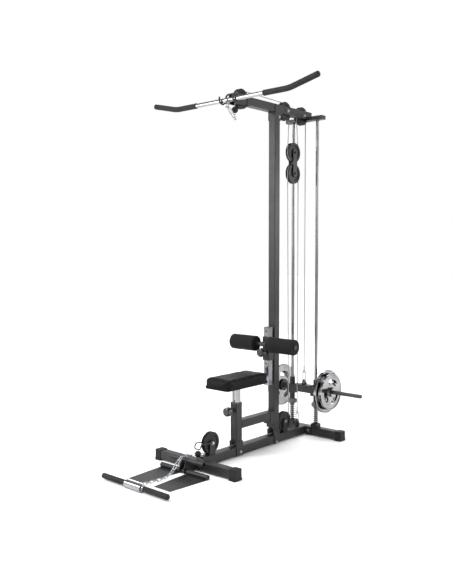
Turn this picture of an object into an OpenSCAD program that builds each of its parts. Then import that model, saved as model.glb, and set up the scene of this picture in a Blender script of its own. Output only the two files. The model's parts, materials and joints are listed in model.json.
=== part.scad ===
// Cable tower for lat pulldowns and low rows, loaded with weight plates.
// Millimetres. X runs across the machine, -Y is the user's side, +Z is up.
// The origin is on the floor, under the middle of the machine.

/* [Frame tube] */
// Outside width of the square frame tube
tube_w = 50; // [48:1:50]
// Wall of the frame tube
tube_wall = 2.5; // [2:0.5:3]
// Outside corner radius of the frame tube
tube_r = 4; // [3.5:0.5:5]
// Height of the floor tubes' undersides above the floor
tube_lift = 8; // [6:1:10]

/* [Footprint] */
// Half of the length over the caps of the front floor tube
front_half = 308; // [280:1:340]
// Half of the length over the caps of the rear floor tube
rear_half = 299; // [270:1:330]
// Middle of the front floor tube
front_y = -343; // [-345:1:-341]
// Middle of the rear floor tube
rear_y = 682; // [681:1:683]
// Middle of the column
column_y = 350; // [348:1:352]
// Middle of the seat column
seat_y = -7; // [-9:1:-5]

/* [Heights] */
// Underside of the boom
boom_z = 2050; // [2045:1:2055]
// Top of the seat column
seat_column_top = 315; // [312:1:318]
// Top of the seat pad
seat_top = 478; // [476:1:482]
// Underside of the brace between the columns
brace_z = 163; // [155:1:170]

/* [Seat] */
// Width of the seat pad
pad_w = 196; // [180:1:240]
// Length of the seat pad
pad_l = 386; // [360:1:388]
// Thickness of the seat pad
pad_t = 62; // [52:1:62]

/* [Pulleys and cables] */
// Radius of the three sheaves on the boom
top_sheave_r = 57.5; // [56:0.5:58]
// Radius of the low sheaves and of the floating block's sheaves
low_sheave_r = 62.5; // [61:0.5:63]
// Width of every sheave
sheave_w = 26; // [24:1:28]
// Radius of the coated steel cable
cable_r = 3; // [2.5:0.5:3]
// Gap between a free stretch of cable and the stretch on the floating block
end_gap = 0.6; // [0.5:0.1:1]

/* [Weights] */
// Radius of the guide rods
rod_r = 10; // [8:0.5:11]
// Distance of each guide rod from the machine's middle
rod_x = 94; // [92:1:98]
// Radius of the plate horns
horn_r = 12.5; // [12:0.5:12.5]
// Distance from the machine's middle to the end of each horn
horn_end = 436; // [434:1:450]
// Radius of the inner weight plates
inner_plate_r = 139; // [130:1:145]
// Radius of the outer weight plates
outer_plate_r = 118; // [112:1:125]

/* [Lat bar] */
// Half of the length of the lat bar
bar_half = 616; // [600:1:640]
// Distance from the middle to each bend of the lat bar
bar_bend = 422; // [400:1:440]
// Radius of the lat bar
bar_r = 12.5; // [12:0.5:13]

/* [Hidden] */
$fn = 64;

half_w = tube_w / 2;
rail_top = tube_lift + tube_w;
tube_z = tube_lift + half_w;
boom_top = boom_z + tube_w;
black = "#2b2c2e";
rubber_black = "#1c1c1d";
chrome = "#c9ccd0";

// Foot caps
cap_h = 61;
cap_len = 47;
cap_wall = 4;
cap_depth = 56;

// Saddle plates that straddle the base rail under both columns
saddle_t = 4;
saddle_half = 28;
saddle_top = 92;
slot_half = 15;
slot_top = 107;

// Brace between the columns
brace_centre_z = brace_z + half_w;
shoe_l = 40;
shoe_t = 3;
shoe_z = 136;
weld_tab = 12;

// Boom
boom_front = 63;
boom_back = 707;
chamfer_back = 105;
chamfer_z = 2087;
gusset_t = 3;
fork_gap = 19;
fork_t = 3.5;
tongue_l = 57;
boom_slot_half = 16.5;

// Sheaves: middle of each, as [y, z]
front_top = [32, boom_z + 32];
middle_top = [450, boom_z + 23];
rear_top = [626, boom_z + 17];
low_front = [-231, 126];
low_rear = [450, 124.5];
block_upper = [542, 1828];
block_lower = [542, 1696];
top_run_r = top_sheave_r - 7.5;
low_run_r = low_sheave_r - 6.5;
axle_r = 6;
axle_play = 0.05;
groove_play = 0.8;
hub_half = 15.5;

// Low sheave brackets
bracket_gap = 16;
bracket_t = 3;
base_t = 3;

// Floating block
block_plate_w = 40;
block_z0 = block_lower[1] - 22;
block_z1 = block_upper[1] + 22;

// Cable ends, as [y, z]
lat_ball_at = [front_top[0] - top_run_r, 2013];
lat_ball_r = 19;
row_ball_at = [-332, 82];
row_ball_r = 18.5;
hook_wire = 4;
hook_half = 9;
eye_r = 10;
eye_wire = 2.5;
carriage_eye = [676, 418];
anchor_eye = [600, 157];
ferrule_r = 5;
ferrule_l = 18;

// Guide rods, springs and carriage
rod_y = 676;
rod_play = 0.08;
cross_half = 139;
cross_h = 25;
cross_z = 2039;
spring_r = 17.8;
spring_wire = 2.2;
spring_z0 = 72;
spring_z1 = 192.7;
spring_turns = 10;
seat_block_w = 48;
seat_block_z = 82;
beam_z0 = 278;
beam_z1 = 328;
sleeve_z0 = 263;
sleeve_z1 = 321;
sleeve_half = 28;
collar_r = 17;
collar_top = 368;
neck_bottom = 223;
cup_bottom = 193;
cup_r = 29;
horn_z = 304;
stop_r = 38;
stop_x = 158;
stop_t = 8;
groove_x = 240;
lug_hole_r = 8;

// Weight plates
plate_gap = 0.5;
inner_x = stop_x + stop_t + plate_gap;
inner_hub = 28;
outer_x = inner_x + inner_hub + plate_gap;
outer_hub = 37;
plate_t = 20;
hub_r = 30;
bore_play = 0.1;
grip_w = 34;
grip_half_angle = 28;
grip_angles = [74, 194, 314];

// Lat bar
bar_y = -70;
bar_z = 2062;
bar_end_z = 2107;
grip_r = 16;
grip_play = 0.3;
grip_start = 253;
bar_eye = [-87, 2029];
bar_eye_r = 15;
bar_eye_hole = 8;
hook_x = 51;
hook_rod = 5;
cradle_z = bar_z - bar_r - hook_rod - 0.5;

// Seat
post_w = 38;
post_bottom = 185;
post_top = 410;
groove_w = 12;
groove_d = 4;
seat_pin_z = 275;
bush_t = 7;
pad_y = 1;
pad_gap = 0.4;

// Thigh hold-down
thigh_y = 293;
thigh_w = 40;
thigh_z0 = 380;
thigh_z1 = 739;
hole_pitch = 33;
hole_r = 5.5;
sleeve_low = 535;
sleeve_high = 680;
sleeve_w = 50;
sleeve_in = 41.5;
roller_y = 246;
roller_z = 637;
roller_r = 47;
roller_x0 = 53;
roller_x1 = 240;
roller_rod = 9;
thigh_pin_z = 588;

// Pop pins
knob_r = 27;
pin_r = 5;
barrel_r = 11;

// Foot plates
hinge_y = -440;
hinge_r = 13.5;
hinge_in = 11;
sheet_t = 2.5;
foot_x0 = 20.5;
foot_x1 = 178;
foot_front = -697;
foot_front_x0 = 39;
foot_front_x1 = 159;
stop_tube = [-430, 73];
stop_tube_r = 13;
stop_half = 140;

// Row handle
handle_y = -794;
handle_z = 21;
handle_rod = 9;
sleeve_len = 61;
handle_half = 252;
handle_grip_r = 15;

// Chain from the ball to the handle: the points where its links meet, as [y, z]
chain_points = [
    [-357, 83], [-381, 87], [-405, 94], [-430, 98], [-455, 94], [-476, 80]
];
floor_points = [
    [-517, 40], [-538, 25], [-561, 14], [-586, 10], [-611, 10], [-636, 10], [-661, 11],
    [-686, 12], [-711, 13], [-736, 15], [-760, 18]
];
link_wire = 2.2;
link_half = 6.5;
link_lap = 2.8;

// ---------- shared shapes ----------

// A box between two opposite corners.
module block(low, high) {
    translate(low)
        cube(high - low);
}

// The children on both sides of the machine's middle plane.
module both_sides() {
    children();
    mirror([1, 0, 0])
        children();
}

// Draws in the YZ plane: the outline's x becomes y, its y becomes z, and it runs along X.
module side_plate(x0, thickness) {
    translate([x0, 0, 0])
        rotate([90, 0, 90])
            linear_extrude(thickness)
                children();
}

module rounded_rect(w, d, r) {
    square([w, d - 2 * r], center = true);
    square([w - 2 * r, d], center = true);
    for (x = [-1, 1], y = [-1, 1])
        translate([x * (w / 2 - r), y * (d / 2 - r)])
            circle(r);
}

module tube_section(w = tube_w, d = tube_w, wall = tube_wall, r = tube_r) {
    difference() {
        rounded_rect(w, d, r);
        rounded_rect(w - 2 * wall, d - 2 * wall, r - 1.5);
    }
}

module tube_along_z(y, z0, z1) {
    translate([0, y, z0])
        linear_extrude(z1 - z0)
            children();
}

module tube_along_y(z, y0, y1) {
    translate([0, y1, z])
        rotate([90, 0, 0])
            linear_extrude(y1 - y0)
                children();
}

module tube_along_x(y, z, half) {
    translate([-half, y, z])
        rotate([90, 0, 90])
            linear_extrude(2 * half)
                children();
}

// A round rod between two points.
module rod(from, to, r) {
    run = to - from;
    translate(from)
        rotate([0, acos(run[2] / norm(run)), atan2(run[1], run[0])])
            cylinder(r = r, h = norm(run));
}

// Moves the children so that their X, Y and Z axes lie along the given directions.
module oriented(origin, x_axis, y_axis, z_axis) {
    multmatrix([for (i = [0 : 2]) [x_axis[i], y_axis[i], z_axis[i], origin[i]]])
        children();
}

// A bar with the children's outline, along a list of points with a bend at each one between.
module bent_bar(points, bend) {
    last = len(points) - 1;
    way = [for (i = [0 : last - 1]) unit(points[i + 1] - points[i])];
    turn = [for (i = [0 : last]) i == 0 || i == last ? 0 : acos(way[i - 1] * way[i])];
    trim = [for (a = turn) bend * tan(a / 2)];
    for (i = [0 : last - 1]) {
        side = unit(cross(way[i], abs(way[i][2]) > 0.9 ? [0, 1, 0] : [0, 0, 1]));
        oriented(points[i] + trim[i] * way[i], side, cross(way[i], side), way[i])
            linear_extrude(norm(points[i + 1] - points[i]) - trim[i] - trim[i + 1])
                children();
    }
    for (i = [1 : last - 1]) {
        inward = unit(way[i] - (way[i] * way[i - 1]) * way[i - 1]);
        oriented(points[i] - trim[i] * way[i - 1] + bend * inward, -inward, way[i - 1],
                 cross(-inward, way[i - 1]))
            rotate_extrude(angle = turn[i])
                translate([bend, 0])
                    children();
    }
}

// A cylinder along X.
module pin_x(at, x0, x1, r) {
    translate([x0, at[0], at[1]])
        rotate([0, 90, 0])
            cylinder(r = r, h = x1 - x0);
}

// A cylinder along Y.
module pin_y(x, z, y0, y1, r) {
    translate([x, y1, z])
        rotate([90, 0, 0])
            cylinder(r = r, h = y1 - y0);
}

// A washer and a hexagon head, standing on the plane z = 0.
module bolt_head(across = 7.5) {
    cylinder(r = across + 2, h = 1.5);
    translate([0, 0, 1.5])
        cylinder(r = across, h = 6, $fn = 6);
}

// A pair of bolt heads on both ends of an axle along X.
module heads_x(at, x) {
    both_sides()
        translate([x, at[0], at[1]])
            rotate([0, 90, 0])
                bolt_head();
}

// An oval ring of round wire in the XZ plane, from z = 0 to z = length at the wire's middle.
module oval_ring(length, half, wire) {
    for (end = [0, 1])
        translate([0, 0, end ? length - half : half])
            rotate([90, 0, 0])
                rotate([0, 0, end ? 0 : 180])
                    rotate_extrude(angle = 180)
                        translate([half, 0])
                            circle(wire);
    for (side = [-1, 1])
        translate([side * half, 0, half])
            cylinder(r = wire, h = length - 2 * half);
}

// Turns a shape that stands on z = 0 so that it runs from one point of the YZ plane to another.
module aim(from, to) {
    translate([0, from[0], from[1]])
        rotate([atan2(to[1] - from[1], to[0] - from[0]) - 90, 0, 0])
            children();
}

// The eye at the end of a cable and the crimped ferrule above it.
module cable_eye() {
    rotate([90, 0, 90])
        rotate_extrude()
            translate([eye_r, 0])
                circle(eye_wire);
    translate([0, 0, eye_r + 1])
        cylinder(r = ferrule_r, h = ferrule_l);
}

// A snap hook that hangs an eye over a lug.
module cable_hook(lug_z, eye) {
    translate([0, eye[0], lug_z])
        oval_ring(eye[1] - lug_z, hook_half, hook_wire);
    translate([0, eye[0], eye[1]])
        cable_eye();
}

// ---------- cables ----------

function unit(v) = v / norm(v);
function tangent(p, i) = unit(p[min(i + 1, len(p) - 1)] - p[max(i - 1, 0)]);
function ring(p, i, r, sides, up) =
    let (u = unit(cross(tangent(p, i), up)), v = cross(tangent(p, i), u))
    [for (k = [0 : sides - 1]) p[i] + r * cos(360 * k / sides) * u + r * sin(360 * k / sides) * v];

// A tube swept along points, with its rings squared to the run.
module sweep(p, r, up, sides = 8) {
    n = len(p);
    polyhedron(
        points = [for (i = [0 : n - 1]) each ring(p, i, r, sides, up)],
        faces = [
            [for (k = [0 : sides - 1]) k],
            for (i = [0 : n - 2], k = [0 : sides - 1])
                let (next = (k + 1) % sides, a = i * sides, b = a + sides)
                each [[a + k, b + k, b + next], [a + k, b + next, a + next]],
            [for (k = [sides - 1 : -1 : 0]) (n - 1) * sides + k]
        ]
    );
}

// The points of a path with each corner replaced by a short curve.
function softened(p, reach) = concat(
    [p[0]],
    [for (i = [1 : len(p) - 2])
        let (back = unit(p[i - 1] - p[i]), on = unit(p[i + 1] - p[i]))
        each [for (t = [0 : 0.25 : 1]) p[i] + reach * ((1 - t) * (1 - t) * back + t * t * on)]],
    [p[len(p) - 1]]
);

// A stop is [centre, radius, turn]: turn is 1 where the cable turns left round it (seen with
// +Y to the right), -1 where it turns right, and a plain point has radius 0.
function heading(a, b) =
    let (d = b[0] - a[0])
    atan2(d[1], d[0]) - asin((b[2] * b[1] - a[2] * a[1]) / norm(d));
function touch(stop, angle) = stop[0] + stop[2] * stop[1] * [sin(angle), -cos(angle)];
function turn_size(stop, from, to) =
    let (raw = stop[2] * (to - from))
    raw - 360 * floor(raw / 360);

// The points round one stop, from the run that comes from a to the run that goes to b.
function wrap(a, stop, b, steps) =
    let (from = heading(a, stop), size = turn_size(stop, from, heading(stop, b)))
    [for (i = [0 : steps]) touch(stop, from + stop[2] * size * i / steps)];
function leave(a, b) = touch(a, heading(a, b));
function arrive(a, b) = touch(b, heading(a, b));

// The straight run from stop a to stop b, cut short by the end gap at each end that asks for it.
function run(a, b, gap_a, gap_b) =
    let (from = leave(a, b), to = arrive(a, b), along = unit(to - from))
    [from + gap_a * along, to - gap_b * along];

lat_start = [lat_ball_at + [0, lat_ball_r + 0.3], 0, 1];
lat_front = [front_top, top_run_r, -1];
lat_middle = [middle_top, top_run_r, -1];
lat_block = [block_upper, low_run_r, 1];
lat_rear = [rear_top, top_run_r, -1];
lat_end = [carriage_eye + [0, eye_r + ferrule_l + 1.2], 0, 1];

row_start = [row_ball_at + [row_ball_r + 0.4, -1], 0, 1];
row_front = [low_front, low_run_r, 1];
row_rear = [low_rear, low_run_r, 1];
row_block = [block_lower, low_run_r, -1];
row_end = [anchor_eye + [0, eye_r + ferrule_l + 1.2], 0, 1];

module cable(points) {
    color(rubber_black)
        sweep([for (p = points) [0, p[0], p[1]]], cable_r, [1, 0, 0]);
}

module fixed_cables() {
    cable(concat(wrap(lat_start, lat_front, lat_middle, 10), wrap(lat_front, lat_middle, lat_block, 6)));
    cable(wrap(lat_block, lat_rear, lat_end, 10));
    cable(concat(wrap(row_start, row_front, row_rear, 2), wrap(row_front, row_rear, row_block, 7)));
}

module block_cables() {
    cable(wrap(lat_middle, lat_block, lat_rear, 11));
    cable(wrap(row_rear, row_block, row_end, 11));
}

module lat_cable_front() {
    cable([lat_start[0], arrive(lat_start, lat_front)]);
}

module lat_cable_block() {
    cable(run(lat_middle, lat_block, 0, end_gap));
    cable(run(lat_block, lat_rear, end_gap, 0));
}

module lat_cable_rear() {
    cable([leave(lat_rear, lat_end), lat_end[0]]);
}

module row_cable_block() {
    cable(run(row_rear, row_block, 0, end_gap));
    cable(run(row_block, row_end, end_gap, 0));
}

module row_cable_front() {
    cable([row_start[0], arrive(row_start, row_front)]);
}

// ---------- frame ----------

module front_cross_tube() {
    color(black)
        tube_along_x(front_y, tube_z, front_half - cap_wall)
            tube_section();
}

module rear_cross_tube() {
    color(black)
        tube_along_x(rear_y, tube_z, rear_half - cap_wall)
            tube_section();
}

// A rubber cap over a tube's end, with a wider skirt on the floor.
module foot_cap(end, y) {
    difference() {
        translate([end - cap_len / 2, y, 0]) {
            linear_extrude(cap_h)
                rounded_rect(cap_len, cap_depth, 5);
            linear_extrude(12)
                rounded_rect(cap_len, cap_depth + 6, 5);
        }
        translate([0, y, tube_z])
            cube([2 * (end - cap_wall), tube_w + 0.3, tube_w + 0.3], center = true);
    }
}

module foot_caps() {
    color(rubber_black)
        both_sides() {
            foot_cap(front_half, front_y);
            foot_cap(rear_half, rear_y);
        }
}

// The rail between the floor tubes, the flange on its rear end and the lug that anchors a cable.
module base_rail() {
    flange_t = 6;
    rail_end = rear_y - half_w - flange_t;
    color(black) {
        tube_along_y(tube_z, front_y + half_w, rail_end)
            tube_section();
        block([-70, rail_end, tube_lift], [70, rail_end + flange_t, rail_top]);
        difference() {
            side_plate(-3, 6) {
                translate([anchor_eye[0] - 19, rail_top])
                    square([38, 34]);
                translate([anchor_eye[0], rail_top + 34])
                    circle(19);
            }
            pin_x([anchor_eye[0], 97], -4, 4, lug_hole_r);
        }
    }
}

// An opening for the cable through a column's front and rear walls, round at its top.
module cable_slot(y) {
    block([-slot_half, y - tube_w, rail_top - 1], [slot_half, y + tube_w, slot_top - slot_half]);
    pin_y(0, slot_top - slot_half, y - tube_w, y + tube_w, slot_half);
}

// Plates on both sides of a column's foot that straddle the rail.
module saddle(y) {
    both_sides()
        block([half_w, y - saddle_half, tube_lift], [half_w + saddle_t, y + saddle_half, saddle_top]);
}

module column() {
    color(black) {
        difference() {
            tube_along_z(column_y, rail_top, boom_z)
                tube_section();
            cable_slot(column_y);
        }
        saddle(column_y);
    }
}

module seat_column() {
    front = seat_y - half_w;
    color(black) {
        difference() {
            tube_along_z(seat_y, rail_top, seat_column_top)
                tube_section();
            cable_slot(seat_y);
            pin_y(0, seat_pin_z, front - 1, front + tube_wall + 1, pin_r + bore_play);
        }
        saddle(seat_y);
        difference() {
            pin_y(0, seat_pin_z, front - 30, front, barrel_r);
            pin_y(0, seat_pin_z, front - 31, front + 1, pin_r + bore_play);
        }
    }
}

// The brace, the shoe under its rear end and the tab that welds its top to the column.
module lower_brace() {
    column_front = column_y - half_w;
    shoe_front = column_front - shoe_l;
    brace_top = brace_z + tube_w;
    color(black) {
        tube_along_y(brace_centre_z, seat_y + half_w, column_front)
            tube_section();
        both_sides()
            block([half_w - 1, shoe_front, shoe_z], [half_w + shoe_t, column_front, brace_top - 8]);
        block([-half_w, shoe_front, shoe_z], [half_w, shoe_front + shoe_t, brace_z + 1]);
        block([-20, column_front - 6, brace_top - 1], [20, column_front, brace_top + weld_tab]);
    }
}

module boom() {
    color(black)
        difference() {
            tube_along_y(boom_z + half_w, boom_front, boom_back)
                tube_section();
            side_plate(-tube_w, 2 * tube_w)
                polygon([
                    [chamfer_back, boom_top + 1], [boom_front, chamfer_z],
                    [boom_front - 1, chamfer_z], [boom_front - 1, boom_top + 1]
                ]);
            block([-boom_slot_half - 2, boom_front - 1, boom_z - 1],
                  [boom_slot_half + 2, front_top[0] + top_sheave_r + 8, boom_top + 1]);
            for (sheave = [middle_top, rear_top])
                block([-boom_slot_half, sheave[0] - top_sheave_r - 6, boom_z - 1],
                      [boom_slot_half, sheave[0] + top_sheave_r + 6, boom_top + 1]);
            block([-tube_w, rod_y - half_w - 1.3, boom_z - 1],
                  [tube_w, rod_y + half_w - 0.7, cross_z + cross_h + 0.2]);
        }
}

// The plates on both sides of the boom's joint with the column.
module boom_gussets() {
    back = middle_top[0] + 16;
    color(black)
        both_sides()
            difference() {
                side_plate(half_w, gusset_t)
                    polygon([
                        [column_y - 26, boom_z - 49], [column_y + 28, boom_z - 49],
                        [column_y + 28, boom_z - 18], [column_y + 46, boom_z + 2],
                        [back, boom_z + 2], [back, boom_top - 8], [column_y - 26, boom_top - 8]
                    ]);
                pin_x([middle_top[0] - 30, middle_top[1] + 3], half_w - 1, half_w + gusset_t + 1, 5);
            }
}

// One bar hook, from its tip: down in front of the bar, under it and up behind it.
hook_side = [[-94, bar_z + 20], [-94, cradle_z], [-40, cradle_z], [-40, boom_top]];

// The front sheave's side plates, with tongues that are welded inside the boom, and the bent
// rod that holds the bar.
module front_fork() {
    left = [for (p = hook_side) [-hook_x, p[0], p[1]]];
    right = [for (i = [len(hook_side) - 1 : -1 : 0]) [hook_x, hook_side[i][0], hook_side[i][1]]];
    color(black) {
        both_sides()
            side_plate(fork_gap, fork_t)
                polygon([
                    [36, boom_z - 7], [boom_front - 2, boom_z + 2], [boom_front - 2, boom_z + 6],
                    [boom_front + tongue_l, boom_z + 6], [boom_front + tongue_l, chamfer_z - 4],
                    [boom_front - 2, chamfer_z - 4], [boom_front - 2, chamfer_z],
                    [-20, boom_top + 5], [-42, boom_top + 3], [-46, boom_top - 10], [-46, boom_z - 7]
                ]);
        bent_bar(concat(left, right), 24)
            circle(hook_rod);
    }
}

module top_cross_bar() {
    color(black)
        difference() {
            tube_along_x(rod_y - 1, cross_z + cross_h / 2, cross_half - 3)
                tube_section(tube_w, cross_h, 2, 3.5);
            block([-boom_slot_half, rod_y - half_w - 2, cross_z - 1],
                  [boom_slot_half, rod_y + 14, cross_z + cross_h + 1]);
        }
}

module guide_rods() {
    color(chrome)
        both_sides()
            translate([rod_x, rod_y, rail_top])
                cylinder(r = rod_r, h = cross_z - rail_top);
}

// The plug in the boom's rear end, the caps of the top cross bar and the seat column's bush.
module plastic_caps() {
    color(rubber_black) {
        translate([0, boom_back + 3, boom_z + half_w])
            rotate([90, 0, 0])
                linear_extrude(3)
                    rounded_rect(tube_w, tube_w, tube_r);
        both_sides()
            translate([cross_half - 3, rod_y - 1, cross_z + cross_h / 2])
                rotate([90, 0, 90])
                    linear_extrude(3)
                        rounded_rect(tube_w, cross_h, 3.5);
        translate([0, seat_y, seat_column_top])
            linear_extrude(bush_t)
                difference() {
                    rounded_rect(tube_w, tube_w, tube_r);
                    square(post_w + 0.8, center = true);
                }
    }
}

// The blocks that hold the guide rods' feet and the bumper springs.
module spring_seats() {
    color(black)
        both_sides()
            translate([rod_x, rod_y, rail_top])
                difference() {
                    linear_extrude(seat_block_z - rail_top)
                        rounded_rect(seat_block_w, seat_block_w, 4);
                    translate([0, 0, spring_z0 - rail_top])
                        cylinder(r = spring_r + spring_wire + 0.4, h = 20);
                    translate([0, 0, -1])
                        cylinder(r = rod_r, h = 30);
                }
}

// A coil spring round each guide rod, with its end turns lying flat.
module bumper_springs() {
    steps = 10;
    end_rise = spring_wire * 2;
    pitch = (spring_z1 - spring_z0 - 2 * spring_wire - 2 * end_rise) / (spring_turns - 2);
    turns = [for (i = [0 : steps * spring_turns]) i / steps];
    coil = [for (t = turns)
        let (low = min(t, 1), high = max(t - spring_turns + 1, 0), middle = t - low - high)
        [spring_r * cos(360 * t), spring_r * sin(360 * t),
         spring_z0 + spring_wire + low * end_rise + middle * pitch + high * end_rise]];
    color(chrome)
        both_sides()
            translate([rod_x, rod_y, 0])
                sweep(coil, spring_wire, [0, 0, 1], 6);
}

// The side plates and foot of one low sheave's bracket.
module sheave_bracket(at, front) {
    both_sides()
        difference() {
            side_plate(bracket_gap, bracket_t)
                polygon([
                    [at[0] - 26, rail_top], [at[0] + 22, rail_top],
                    [at[0] + 18, at[1] + 10], [at[0] - 18, at[1] + 10]
                ]);
            pin_x(at, 0, half_w, axle_r);
        }
    block([-24, front, rail_top], [24, at[0] + 24, rail_top + base_t]);
}

// Both low brackets, and the rod that keeps the ball from riding up the front sheave.
module low_brackets() {
    guard_x = bracket_gap + bracket_t + 3;
    guard_side = [[-246.5, 128], [-326, 139], [-337, 110]];
    near = [for (p = guard_side) [guard_x, p[0], p[1]]];
    far = [for (i = [2 : -1 : 0]) [-guard_x, guard_side[i][0], guard_side[i][1]]];
    color(black) {
        sheave_bracket(low_front, -310);
        sheave_bracket(low_rear, low_rear[0] - 32);
    }
    color(chrome)
        sweep(softened(concat(near, far), 12), 3.5, [0, 0, 1]);
}

// One list of every place where a bolt's heads show on the frame's sides, as [y, z, x].
side_heads = [
    [column_y - 6, tube_z - 18, half_w + saddle_t], [seat_y + 6, tube_z - 5, half_w + saddle_t],
    [column_y + 9, boom_z - 28, half_w + gusset_t],
    [middle_top[0], middle_top[1], half_w + gusset_t], [rear_top[0], rear_top[1], half_w],
    [front_top[0], front_top[1], fork_gap + fork_t],
    [low_rear[0], low_rear[1], bracket_gap + bracket_t],
    [low_front[0], low_front[1], bracket_gap + bracket_t]
];

module frame_bolts() {
    color(chrome) {
        for (head = side_heads)
            heads_x([head[0], head[1]], head[2]);
        for (at = [middle_top, rear_top])
            pin_x(at, -half_w + tube_wall, half_w - tube_wall, axle_r);
        pin_x(front_top, -fork_gap, fork_gap, axle_r);
        for (at = [low_front, low_rear])
            pin_x(at, -bracket_gap - bracket_t, bracket_gap + bracket_t, axle_r);
        both_sides() {
            translate([50, rear_y - half_w - 6, 33])
                rotate([90, 0, 0])
                    bolt_head();
            translate([rod_x, rod_y, cross_z + cross_h])
                bolt_head(10);
        }
        translate([0, -300, rail_top + base_t])
            cylinder(r = 7, h = 3, $fn = 6);
    }
}

module anchor_hook() {
    color(chrome)
        cable_hook(97, anchor_eye);
}

module thigh_post() {
    column_front = column_y - half_w;
    post_back = thigh_y + thigh_w / 2;
    color(chrome)
        difference() {
            tube_along_z(thigh_y, thigh_z0, thigh_z1)
                tube_section(thigh_w, thigh_w, 2.5, 3.5);
            for (z = [thigh_z0 + 35 : hole_pitch : thigh_z1 - 8])
                pin_y(0, z, thigh_y - thigh_w, thigh_y, hole_r);
        }
    color(black)
        for (z = [thigh_z0 + 6, thigh_z1 - 22])
            block([-16, post_back, z], [16, column_front, z + 16]);
}

// The plates on the front tube, the pin of the foot plates and the tube that stops them.
module foot_bracket() {
    front = front_y - half_w;
    color(black) {
        both_sides()
            side_plate(16, 4)
                polygon([
                    [front, 4], [front, 56], [stop_tube[0] + 12, 70], [stop_tube[0] - 12, 70],
                    [hinge_y - 20, 34], [hinge_y - 20, 4]
                ]);
        pin_x([hinge_y, hinge_r], -foot_x1 + 2, foot_x1 - 2, hinge_in - bore_play);
        difference() {
            pin_x(stop_tube, -stop_half, stop_half, stop_tube_r);
            pin_x(stop_tube, -stop_half - 1, stop_half + 1, stop_tube_r - 2.5);
        }
    }
}

// ---------- sheaves ----------

// A grooved sheave with a dished web, turning on an axle along X.
module sheave(at, r, run_r) {
    floor_r = run_r - cable_r - groove_play;
    w = sheave_w / 2;
    web = w - 4;
    hub = 17;
    rim = floor_r - 6;
    half_outline = [
        [axle_r + axle_play, hub_half], [hub, hub_half], [hub + 2, web], [rim - 2, web], [rim, w],
        [r - 2, w], [r, w - 2], [r, w - 4], [floor_r + 1, 3.6], [floor_r, 2.4]
    ];
    mirrored = [for (i = [len(half_outline) - 1 : -1 : 0]) [half_outline[i][0], -half_outline[i][1]]];
    color(rubber_black)
        translate([0, at[0], at[1]])
            rotate([90, 0, 90])
                rotate_extrude()
                    polygon(concat(half_outline, mirrored));
}

module front_top_sheave() {
    sheave(front_top, top_sheave_r, top_run_r);
}

module middle_top_sheave() {
    sheave(middle_top, top_sheave_r, top_run_r);
}

module rear_top_sheave() {
    sheave(rear_top, top_sheave_r, top_run_r);
}

module low_front_sheave() {
    sheave(low_front, low_sheave_r, low_run_r);
}

module low_rear_sheave() {
    sheave(low_rear, low_sheave_r, low_run_r);
}

module block_upper_sheave() {
    sheave(block_upper, low_sheave_r, low_run_r);
}

module block_lower_sheave() {
    sheave(block_lower, low_sheave_r, low_run_r);
}

// The floating block's two link plates, its axles and their heads.
module block_plates() {
    end_r = block_plate_w / 2;
    color(black)
        both_sides()
            side_plate(bracket_gap, bracket_t) {
                translate([block_upper[0] - end_r, block_z0 + end_r])
                    square([block_plate_w, block_z1 - block_z0 - 2 * end_r]);
                for (z = [block_z0 + end_r, block_z1 - end_r])
                    translate([block_upper[0], z])
                        circle(end_r);
            }
    color(chrome)
        for (at = [block_upper, block_lower]) {
            pin_x(at, -bracket_gap, bracket_gap, axle_r);
            heads_x(at, bracket_gap + bracket_t);
        }
}

// ---------- carriage ----------

// A sleeve that runs on a guide rod.
module rod_sleeve() {
    difference() {
        translate([rod_x, rod_y, 0]) {
            translate([0, 0, sleeve_z0])
                linear_extrude(sleeve_z1 - sleeve_z0)
                    rounded_rect(2 * sleeve_half, 2 * sleeve_half, 5);
            translate([0, 0, neck_bottom])
                cylinder(r = collar_r, h = collar_top - neck_bottom);
        }
        translate([rod_x, rod_y, 0])
            cylinder(r = rod_r + rod_play, h = 400);
    }
}

// The beam between the sleeves, with the lug that the cable lifts it by.
module carriage_beam() {
    beam_half = rod_x - sleeve_half;
    lug_z = 344;
    color(black) {
        tube_along_x(rod_y, (beam_z0 + beam_z1) / 2, beam_half)
            tube_section();
        both_sides()
            rod_sleeve();
        difference() {
            side_plate(-3, 6)
                polygon([
                    [rod_y - 31, beam_z1 - 3], [rod_y + 31, beam_z1 - 3],
                    [rod_y + 12, lug_z + 15], [rod_y - 12, lug_z + 15]
                ]);
            pin_x([rod_y, lug_z], -4, 4, lug_hole_r);
        }
    }
}

// A horn for the weight plates: its stop flange, the stretch under the plates and, past a
// groove, the free stretch with a rounded tip.
module horn() {
    start = rod_x + sleeve_half;
    tip = 5;
    translate([0, rod_y, horn_z])
        rotate([0, 90, 0])
            rotate_extrude()
                polygon([
                    [0, start], [horn_r + 4, start], [horn_r + 4, stop_x], [stop_r, stop_x],
                    [stop_r, stop_x + stop_t], [horn_r, stop_x + stop_t], [horn_r, groove_x - 2],
                    [horn_r - 1, groove_x - 2], [horn_r - 1, groove_x], [horn_r, groove_x],
                    [horn_r, horn_end - tip], [horn_r - tip, horn_end], [0, horn_end]
                ]);
}

module horns() {
    color("#3a3c3f")
        both_sides()
            horn();
}

// The rubber cups that land on the bumper springs.
module rubber_cups() {
    color("#6b6d70")
        both_sides()
            translate([rod_x, rod_y, 0])
                rotate_extrude()
                    polygon([
                        [rod_r + 1, cup_bottom], [cup_r - 5, cup_bottom], [cup_r, cup_bottom + 5],
                        [cup_r, neck_bottom - 6], [cup_r - 10, neck_bottom], [rod_r + 1, neck_bottom]
                    ]);
}

module carriage_hook() {
    color(chrome)
        cable_hook(344, carriage_eye);
}

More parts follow.
